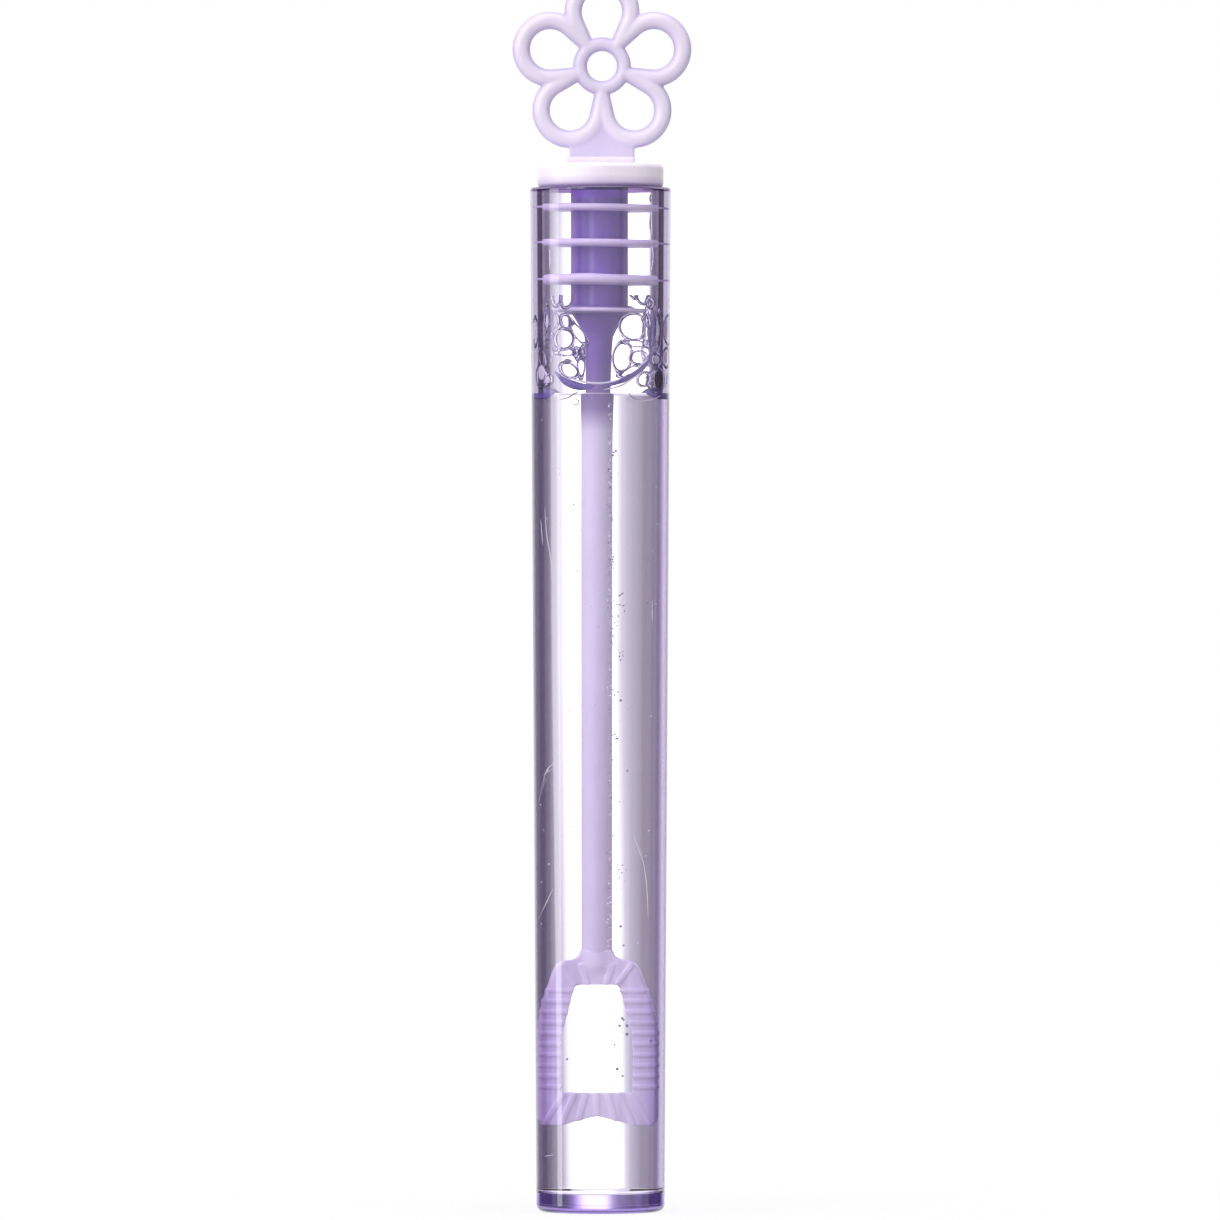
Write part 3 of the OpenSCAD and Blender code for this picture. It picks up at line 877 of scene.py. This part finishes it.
# Where the foam's bubbles press on the front of the bore, in the photo's pixels: middle x
# and y, half width, half height, and lean in degrees to the left
FRONT_CELLS = [
    (633, 328, 11.5, 11.5, 0), (647.5, 330, 2.4, 13, 3), (622.5, 358, 8, 13, -8),
    (638.5, 358.5, 7, 5, 0), (635, 344.5, 8, 2.2, -6), (630, 372.5, 9, 3, 20), (644, 380, 5, 5, 30),
    (653, 383, 2.2, 6, 0), (658.5, 380, 5, 10, 0), (657, 360, 3, 4.5, 0), (658.5, 331, 2, 16, 0),
    (667, 330, 3.2, 13, 0), (666, 358, 2.6, 8, 0), (643, 295, 5, 8, 0), (634, 294, 2.4, 3.4, 0),
    (651, 304, 1.6, 3, 0), (535.5, 332, 2, 12, 0), (547.5, 318, 2.4, 7, 0), (541, 377, 4, 9, 5),
    (548, 380, 2.3, 3.6, 0), (542, 358, 2.2, 8, 28), (566, 323, 4, 6, 35), (578, 334, 3.4, 11, 38),
    (564, 340, 8, 8.5, 0), (567, 353.5, 8, 2.2, 0), (569, 371, 8, 5.5, -28), (581, 367, 2.6, 9, 0),
    (576, 353, 1.5, 2.0, 0), (579, 357.5, 1.6, 2.0, 0), (582.5, 354, 1.3, 3.0, 0),
    (566, 298, 5, 9, 0), (556, 297, 3.5, 8, 0),
]
# The liquid of the foam reaches FOAM_RIM past its bubbles. Where bubbles meet it stands as soft
# borders, which are wider against the wall
FOAM_R = bore_r(LIQUID_Z)
FOAM_TOP = 81.4
FOAM_DEPTH = 0.5
FOAM_RIM = 0.3
BORDER_W = 0.4
BORDER_SOFT = 0.07


def foam_cells():
    """Every bubble on the bore: middle round it and in height, half sizes and lean."""
    cells = []
    for px, py, half_w, half_h, lean in FRONT_CELLS:
        z = photo_z(py)
        left, right = (FOAM_R * bore_turn(photo_x(px + side * half_w), z) for side in (-1, 1))
        cells.append(((left + right) / 2, z, (right - left) / 2, half_h * PHOTO_MM,
                      math.radians(lean)))
    for i in range(16):
        turn = math.copysign(1.75 + 0.35 * random.random(), i - 7.5)
        size = random.uniform(0.6, 1.1)
        cells.append((FOAM_R * turn, random.uniform(LIQUID_Z + 0.9, FOAM_TOP - 1.2), size,
                      size * random.uniform(0.7, 1.5), random.uniform(-0.5, 0.5)))
    return cells


def foam_distance(around, inward, z):
    """The liquid between the bubbles, over the unrolled bore: it fills the gaps, and stands as
    thin borders where bubbles meet, wider against the wall."""
    half_turn = math.pi * FOAM_R
    plane, height = around[:, 0, :], z[:, 0, :]
    fields = []
    for middle, middle_z, half_w, half_h, lean in foam_cells():
        u = (plane - middle + half_turn) % (2 * half_turn) - half_turn
        v = height - middle_z
        along = u * math.cos(lean) + v * math.sin(lean)
        across = v * math.cos(lean) - u * math.sin(lean)
        share = np.hypot(along / half_w, across / half_h)
        fields.append((share - 1) * math.sqrt(half_w * half_h))
    fields = np.array(fields)
    nearest = fields.min(0)
    crowd = np.exp(-(fields - nearest) / BORDER_SOFT).sum(0) - 1
    border = BORDER_SOFT * np.log(np.maximum(crowd, 1e-9))
    gap = np.minimum(nearest, FOAM_RIM - nearest)
    depth = np.clip(inward / FOAM_DEPTH, 0, 1)
    near = nearest[:, None, :] > FOAM_RIM
    borders = np.where(near, -1.0, border[:, None, :] + BORDER_W * (1 - depth) ** 2)
    solid = np.maximum(borders, gap[:, None, :] - 0.25 * depth)
    bounds = np.maximum(np.maximum(inward - FOAM_DEPTH, -inward - WALL_OVERLAP),
                        np.maximum(np.abs(around) - half_turn + 0.02, z - FOAM_TOP))
    return np.maximum(-solid, bounds)


def make_foam():
    half_turn = math.pi * FOAM_R
    low = (-half_turn - 0.2, -0.2, LIQUID_Z - 0.2)
    high = (half_turn + 0.2, FOAM_DEPTH + 0.2, FOAM_TOP + 0.2)
    piece = iso_mesh("foam", foam_distance, low, high, 0.07)
    for v in piece.data.vertices:
        around, inward, z = v.co / MM
        v.co = round_wall(around / FOAM_R, z, inward) * MM
    return piece


# Ribbons and arcs where large bubbles and the liquid's surface meet the front of the bore, the ribbons
# and dark arcs as painted shade and the pale arcs as painted highlights: the thickest half width in
# millimetres, then places in the photo's pixels
RIBBONS = [
    (0.36, [(553, 372), (561, 380), (568, 384), (577, 387), (586, 388), (594, 387)]),
    (0.26, [(602, 387), (612, 385), (622, 381.5), (632, 377), (642, 370), (649, 362), (653, 349)]),
    (0.13, [(653, 349), (655, 335), (655, 318), (652, 308)]),
    (0.12, [(650, 368), (651, 352), (650, 338), (652, 322), (651, 312)]),
    (0.1, [(549, 345), (550.5, 330), (550, 314), (550, 304)]),
]
PALE_ARCS = [
    (0.1, [(560, 373), (570, 378.5), (580, 382), (592, 384), (604, 384), (618, 381), (630, 374)]),
    (0.09, [(604, 390.5), (613, 389), (624, 385), (636, 377), (646, 369)]),
    (0.1, [(632, 399), (640, 402), (650, 401), (659, 397), (665, 391)]),
    (0.08, [(664, 371), (666.5, 379), (665, 387), (661, 391)]),
]
DARK_ARCS = [
    (0.06, [(560, 400.5), (568, 398.5), (575, 394.5), (580, 391)]),
    (0.05, [(628, 392), (632, 398), (640, 401)]),
    (0.05, [(574, 400), (573.5, 404), (577, 405.5), (579, 402), (576, 400.5), (577, 403.5)]),
    (0.25, [(562.5, 364), (566, 362.5), (571, 362)]),
]
# Bright and dark bubbles at the sides, as painted highlights and painted shade: middle x and y, half
# width and half height in pixels
BRIGHT_SPOTS = [
    (534, 331.5, 1.6, 9), (547, 323, 1.3, 7), (541.5, 373, 3.4, 7.5), (547.5, 380.5, 2.2, 3.6),
    (534, 362, 1.0, 8), (665.7, 329.5, 1.8, 12), (658.5, 331, 1.4, 11), (657, 360, 2.6, 4.2),
    (665.5, 357.5, 1.6, 7), (667, 379, 0.9, 8),
]
DARK_SPOTS = [(659, 380, 4.3, 9.6)]
# Runs of liquid down the front of the bore between the fins
RUNS = [
    (0.16, [(651.5, 196), (651, 203)]), (0.16, [(652, 211), (651.5, 225), (652.5, 237)]),
    (0.16, [(652, 245), (653, 258), (651.5, 273)]), (0.1, [(549, 246), (550, 260), (549, 271)]),
]


def arc_parts(arcs, flat):
    """Threads along the bore, sunk a little into its wall."""
    parts = []
    for half_w, knots in arcs:
        points = smooth_path([in_photo(px, py, half_w * flat - WALL_OVERLAP) for px, py in knots])
        parts.append(strand(points, swelling(len(points), half_w / 4, half_w), flat=flat))
    return parts


def spot_parts(spots):
    """Flat ovals against the bore."""
    parts = []
    for px, py, half_w, half_h in spots:
        width = (in_photo(px + half_w, py, 0) - in_photo(px - half_w, py, 0)).length
        angles = [math.radians(-84 + 12 * i) for i in range(15)]
        points = [in_photo(px, py - half_h * math.sin(a), 0.02) for a in angles]
        parts.append(strand(points, [width / 2 * math.cos(a) for a in angles], sides=12, flat=0.12))
    return parts


def film_parts():
    """Violet ribbons, and the liquid's edge on both sides of the tube, all painted shade."""
    parts = arc_parts(RIBBONS, 0.5)
    reach, taper = 42, 12
    turns = range(-reach, reach + 1, 3)
    radii = [0.1 + 0.4 * min(1, (reach - abs(turn)) / taper) for turn in turns]
    for middle in (90, 270):
        points = [round_wall(math.radians(middle + turn), LIQUID_Z + 0.1, 0.12) for turn in turns]
        parts.append(strand(points, radii, flat=0.25))
    return parts


def bead(centre, radius, rings=6, turns=10):
    """The skin of a small round bubble."""
    rises = [math.pi * i / rings - math.pi / 2 for i in range(1, rings)]
    profile = [(radius * math.cos(rise), radius * math.sin(rise)) for rise in rises]
    profile = [(0, -radius)] + profile + [(0, radius)]
    return turned(profile, turns, lambda *offset: centre + Vector(offset))


# Specks in the liquid, as places in the photo's pixels
SPECKS = [
    (621, 925), (624, 944), (622.5, 1016.5), (624, 1018), (627.5, 1024), (627.5, 1032.5), (620, 1024),
    (615, 1043), (617.5, 1067), (623, 1074), (566.5, 1057.5), (614, 453), (616, 451.5), (613, 456),
    (609, 470), (611, 478), (610, 488), (573, 505), (612, 520), (609, 543), (621, 700), (628, 770),
]

SPECK_CLUSTERS = [
    (622, 600), (617, 612), (620, 657), (617, 735), (652, 607), (612, 560), (612, 640), (613, 700),
    (622, 870), (611, 800),
]


def bubble_parts():
    """Small bubbles in the liquid, more of them on the right as in the photograph."""
    parts = []
    for _ in range(60):
        turn = random.choice((random.gauss(0.42, 0.12), random.uniform(0, 2 * math.pi)))
        z = random.uniform(FLOOR_T + 1, LIQUID_Z - 1)
        parts.append(bead(round_wall(turn, z, random.uniform(0.12, 0.5)), random.uniform(0.03, 0.07)))
    parts.append(bead(in_photo(638.5, 1163, 0.2), 0.12))
    parts.append(bead(in_photo(653, 1040, 0.25), 0.14))
    return parts


def dot_parts():
    """Fine pale dots: a line of them before the stem's right edge, the others spread out."""
    parts = []
    for i in range(110):
        px = random.gauss(609.8, 1.1) if i % 3 else random.uniform(538, 662)
        dot = in_photo(px, random.uniform(405, 950), 0.09)
        parts.append(bead(dot, random.uniform(0.05, 0.1)))
    return parts


def speck_parts():
    """The larger specks, clusters of fine ones to the right of the stem, and a line of them
    among the dots."""
    parts = [bead(in_photo(px, py, 0.15), random.uniform(0.08, 0.14)) for px, py in SPECKS]
    for px, py in SPECK_CLUSTERS:
        for _ in range(9):
            place = in_photo(random.gauss(px, 2.0), random.gauss(py, 6), 0.08)
            parts.append(bead(place, random.uniform(0.035, 0.075)))
    for _ in range(80):
        place = in_photo(random.gauss(610.2, 1.1), random.uniform(405, 950), 0.07)
        parts.append(bead(place, random.uniform(0.03, 0.06)))
    return parts


def on_outside(px, py):
    x, z = photo_x(px), photo_z(py)
    return Vector((x, -math.sqrt(outer_r(z) ** 2 - x ** 2), z))


# Scratches on the tube's front, each a list of places in the photo's pixels
SCRATCHES = [
    [(545, 508), (547, 535), (551, 560), (552, 580)], [(541, 520), (543, 545)],
    [(541, 790), (547, 770), (555, 762)], [(543, 775), (553, 768)], [(539, 800), (546, 778)],
    [(539, 918), (546, 903), (553, 888)], [(641, 850), (646, 880), (648, 915)],
    [(634, 835), (643, 862)], [(545, 1155), (553, 1153)], [(652, 600), (652, 622)],
]


def scratch_parts():
    parts = []
    for knots in SCRATCHES:
        points = smooth_path([on_outside(px, py) for px, py in knots])
        parts.append(strand(points, swelling(len(points), 0.01, 0.03), sides=5))
    return parts


dress(make_foam(), FOAM, "tube", "bubble_liquid")
for name, parts, material in (
        ("painted_shade_ribbon", film_parts(), FILM), ("pale_arcs", arc_parts(PALE_ARCS, 0.6), MARK),
        ("dark_arcs", arc_parts(DARK_ARCS, 0.6), SPECK), ("bright_spots", spot_parts(BRIGHT_SPOTS), MARK),
        ("dark_spots", spot_parts(DARK_SPOTS), SHADE), ("runs", arc_parts(RUNS, 0.5), FOAM),
        ("dots", dot_parts(), MARK), ("specks", speck_parts(), SPECK), ("bubbles", bubble_parts(), FOAM)):
    dress(merged(name, parts), material, "tube", "bubble_liquid")
dress(merged("scratches", scratch_parts()), MARK, "tube", "clear_tube")


# Stage, lamps and camera

FLOOR_R = 0.08
WHITE = (1, 1, 1, 1)


def make_floor():
    """A pale floor, which fades into the white studio towards its edge. What is seen through
    the tube is the studio, not the floor."""
    rings = 8
    profile = [(FLOOR_R / MM * ring / rings, 0) for ring in range(rings, 0, -1)]
    floor = lathe("floor", profile + [(0, 0)], 96)
    nodes = Nodes.for_material("floor")
    nodes.set(Base_Color=(0.88, 0.87, 0.89, 1), Roughness=0.9)
    fade = nodes.spread(nodes.place("reach"), 0.8, 1.0, FLOOR_R * 0.2, FLOOR_R * 0.95)
    white = nodes.add("Emission", Color=WHITE)
    nodes.show(nodes.times(nodes.path("Is Camera Ray"), fade), nodes.shader.outputs["BSDF"],
               white.outputs["Emission"])
    floor.visible_transmission = False
    floor.visible_glossy = False
    floor.data.materials.append(nodes.material)


def radians(*degrees):
    return [math.radians(d) for d in degrees]


# How bright the studio is for what glass shows, by the angle from straight behind the object,
# in degrees, positive to the right: bright behind it, at its sides and in front, darker between
STUDIO = [
    (-180, 0.9), (-165, 0.9), (-150, 0.3), (-118, 0.3), (-106, 1.4), (-76, 1.4), (-64, 0.1),
    (-49, 0.1), (-46, 1.5), (-40, 1.5), (-36, 0.95), (-32.5, 0.4), (-23, 0.22), (-19, 0.3),
    (-11.5, 0.5), (-8, 0.85), (-3, 2.4), (11, 2.4), (17, 1.15), (19.5, 0.62), (24.5, 0.235),
    (28, 0.155), (34, 0.11), (56, 0.08), (66, 0.3), (76, 1.4), (106, 1.4), (118, 0.3), (150, 0.3),
    (165, 0.9), (180, 0.9),
]
STUDIO_PEAK = 2.4

# Away from the horizon the studio opens to one even level, between these sines of the height
STUDIO_OPEN = 1.15
OPENING = (0.14, 0.22)

# Powers that shade red, green and blue where the studio is dark, so that the dark is violet
SHADE_POWERS = (0.98, 1.07, 0.88)

# Surfaces that a ray has crossed, at most, when it passed only the tube's base or its dry part
BASE_CROSSED = 2.5
DRY_CROSSED = 4.5

# Rays through the base meet one even level past this angle from each quarter of the studio
CORNER_START = math.radians(32.5)
CORNER_LEVEL = 0.17

# Rays through the dry part meet a darker field to the right of straight behind: the angles over
# which it sets in and ends, and what it leaves of the light
DRY_ONSET = radians(13.5, 16.5)
DRY_END = radians(28, 33)
DRY_DARK = 0.35

# Rays that bounced inside the glass meet quarters with dark edges
EDGE = radians(33, 37)
EDGE_LEVEL = 0.85
EDGE_DARK = 0.07

# Rays that slope down meet a shifted studio, except on the left: radians for each unit of slope,
# and the angles over which the shift sets in
LOW_TURN = 1.5
LOW_TURN_ONSET = (-0.3, -0.15)

# Gloss is bright near straight behind and from the sides on, and dark between
GLOSS_BEHIND = radians(26, 38)
GLOSS_ASIDE = radians(80, 86)
GLOSS_DARK = 0.12

# The strip on the left in outer gloss: its two sides, which close in below the horizon over the
# taper's heights, and its level, which falls over the fade's
STRIP_NEAR, STRIP_NEAR_LOW = radians(87.5, 96)
STRIP_FAR, STRIP_SOFT = radians(107, 1)
STRIP_TAPER = (-0.045, -0.01)
STRIP_LOW = 4.0
STRIP_HIGH = 3.0
STRIP_FADE = (-0.03, 0.0)
# The even level that lights the object
AMBIENT = 0.49


def studio_field(nodes, angle, rise):
    """The studio near the horizon, for rays through glass."""
    crossed = nodes.path("Transmission Depth")
    base_only = nodes.math("LESS_THAN", crossed, BASE_CROSSED)
    dry_only = nodes.math("SUBTRACT", nodes.math("LESS_THAN", crossed, DRY_CROSSED), base_only)
    slope = nodes.math("MAXIMUM", nodes.times(rise, -1.0), 0.0)
    share = nodes.spread(angle, 0, LOW_TURN, *LOW_TURN_ONSET)
    shifted = nodes.math("ADD", angle, nodes.times(slope, nodes.rest(base_only), share))
    levels = [((degrees + 180) / 360, [level / STUDIO_PEAK] * 3) for degrees, level in STUDIO]
    field = nodes.ramp(nodes.spread(shifted, 0, 1, -math.pi, math.pi), levels)
    field = nodes.times(field, STUDIO_PEAK)
    folded = nodes.math("PINGPONG", angle, math.pi / 4)
    corner = nodes.times(base_only, nodes.math("GREATER_THAN", folded, CORNER_START))
    field = nodes.mixed(corner, field, CORNER_LEVEL)
    dusk = nodes.math("MAXIMUM", nodes.spread(angle, 1.0, DRY_DARK, *DRY_ONSET),
                      nodes.spread(angle, DRY_DARK, 1.0, *DRY_END))
    field = nodes.times(field, nodes.mixed(dry_only, 1.0, dusk))
    bounced = nodes.math("GREATER_THAN", nodes.path("Glossy Depth"), 0.5)
    return nodes.mixed(bounced, field, nodes.spread(folded, EDGE_LEVEL, EDGE_DARK, *EDGE))


def studio_gloss(nodes, angle, rise, opened):
    """What gloss shows, with the strip on the left where no glass was crossed."""
    aside = nodes.math("ABSOLUTE", angle)
    sheen = nodes.math("MAXIMUM", nodes.spread(aside, GLOSS_DARK, 1.0, *GLOSS_ASIDE),
                       nodes.spread(aside, 1.0, GLOSS_DARK, *GLOSS_BEHIND))
    leftward = nodes.times(angle, -1.0)
    near = nodes.spread(rise, STRIP_NEAR_LOW, STRIP_NEAR, *STRIP_TAPER)
    past_near = nodes.spread(nodes.math("SUBTRACT", leftward, near), 0, 1, -STRIP_SOFT, STRIP_SOFT)
    before_far = nodes.spread(leftward, 1, 0, STRIP_FAR - STRIP_SOFT, STRIP_FAR + STRIP_SOFT)
    level = nodes.spread(rise, STRIP_LOW, STRIP_HIGH, *STRIP_FADE)
    outside = nodes.math("LESS_THAN", nodes.path("Transmission Depth"), 0.5)
    strip = nodes.times(past_near, before_far, level, outside, nodes.rest(opened))
    return nodes.math("ADD", nodes.mixed(opened, sheen, 1.0), strip)


def make_world():
    """White for the camera, an even level for the light on the object, and the studio for glass
    and gloss."""
    world = bpy.data.worlds.new("studio")
    bpy.context.scene.world = world
    world.use_nodes = True
    nodes = Nodes(world.node_tree)
    parts = nodes.parts("Generated")
    angle, rise = nodes.math("ARCTAN2", parts["X"], parts["Y"]), parts["Z"]
    opened = nodes.spread(nodes.math("ABSOLUTE", rise), 0, 1, *OPENING)
    studio = nodes.mixed(opened, studio_field(nodes, angle, rise), STUDIO_OPEN)
    shown = nodes.math("MINIMUM", studio, 1.0)
    violet = nodes.add("CombineXYZ")
    nodes.link_all([nodes.math("POWER", shown, power) for power in SHADE_POWERS], violet.inputs)
    direct = nodes.math("LESS_THAN", nodes.path("Diffuse Depth"), 0.5)
    glossy = nodes.times(nodes.path("Is Glossy Ray"), direct)
    through = nodes.times(nodes.path("Is Transmission Ray"), direct)
    level = nodes.mixed(glossy, AMBIENT, studio_gloss(nodes, angle, rise, opened))
    level = nodes.mixed(through, level, nodes.math("MAXIMUM", studio, 1.0))
    level = nodes.mixed(nodes.path("Is Camera Ray"), level, 1.0)
    background = nodes.tree.nodes["Background"]
    nodes.link(level, background.inputs["Strength"])
    nodes.link(nodes.mixed_colour(through, WHITE, violet.outputs["Vector"]),
               background.inputs["Color"])


def add_lamp(name, place, width, height, power, aim=(0, 0, 0.05)):
    """A soft rectangular lamp, its places in metres, which glass doesn't show."""
    data = bpy.data.lights.new(name, "AREA")
    data.shape = "RECTANGLE"
    data.size, data.size_y, data.energy = width, height, power
    lamp = placed(name, data)
    lamp.location = place
    lamp.rotation_euler = (Vector(aim) - Vector(place)).to_track_quat("-Z", "Y").to_euler()
    lamp.visible_transmission = False
    return lamp


def make_camera():
    distance, middle_x, middle_z = 1.15, photo_x(PHOTO_SIDE / 2), photo_z(PHOTO_SIDE / 2)
    data = bpy.data.cameras.new("camera")
    data.lens = data.sensor_width * distance / (PHOTO_SIDE * PHOTO_MM * MM)
    data.clip_start = 0.01
    camera = placed("camera", data)
    camera.location = (middle_x * MM, -distance, middle_z * MM)
    camera.rotation_euler = (math.pi / 2, 0, 0)
    bpy.context.scene.camera = camera


make_floor()
make_world()
strip_lamp = add_lamp("strip_left", (-0.6, -0.067, 0.1), 0.2, 0.5, 1.1, (0, 0, 0.06))
strip_lamp.visible_glossy = False
add_lamp("key_left", (-0.45, -0.5, 0.35), 0.4, 0.4, 2.2)
add_lamp("fill_right", (0.6, -0.4, 0.2), 0.5, 0.5, 0.5)
add_lamp("top", (0, -0.1, 0.8), 0.6, 0.6, 3.2)
make_camera()

bpy.context.scene.view_settings.view_transform = "Standard"
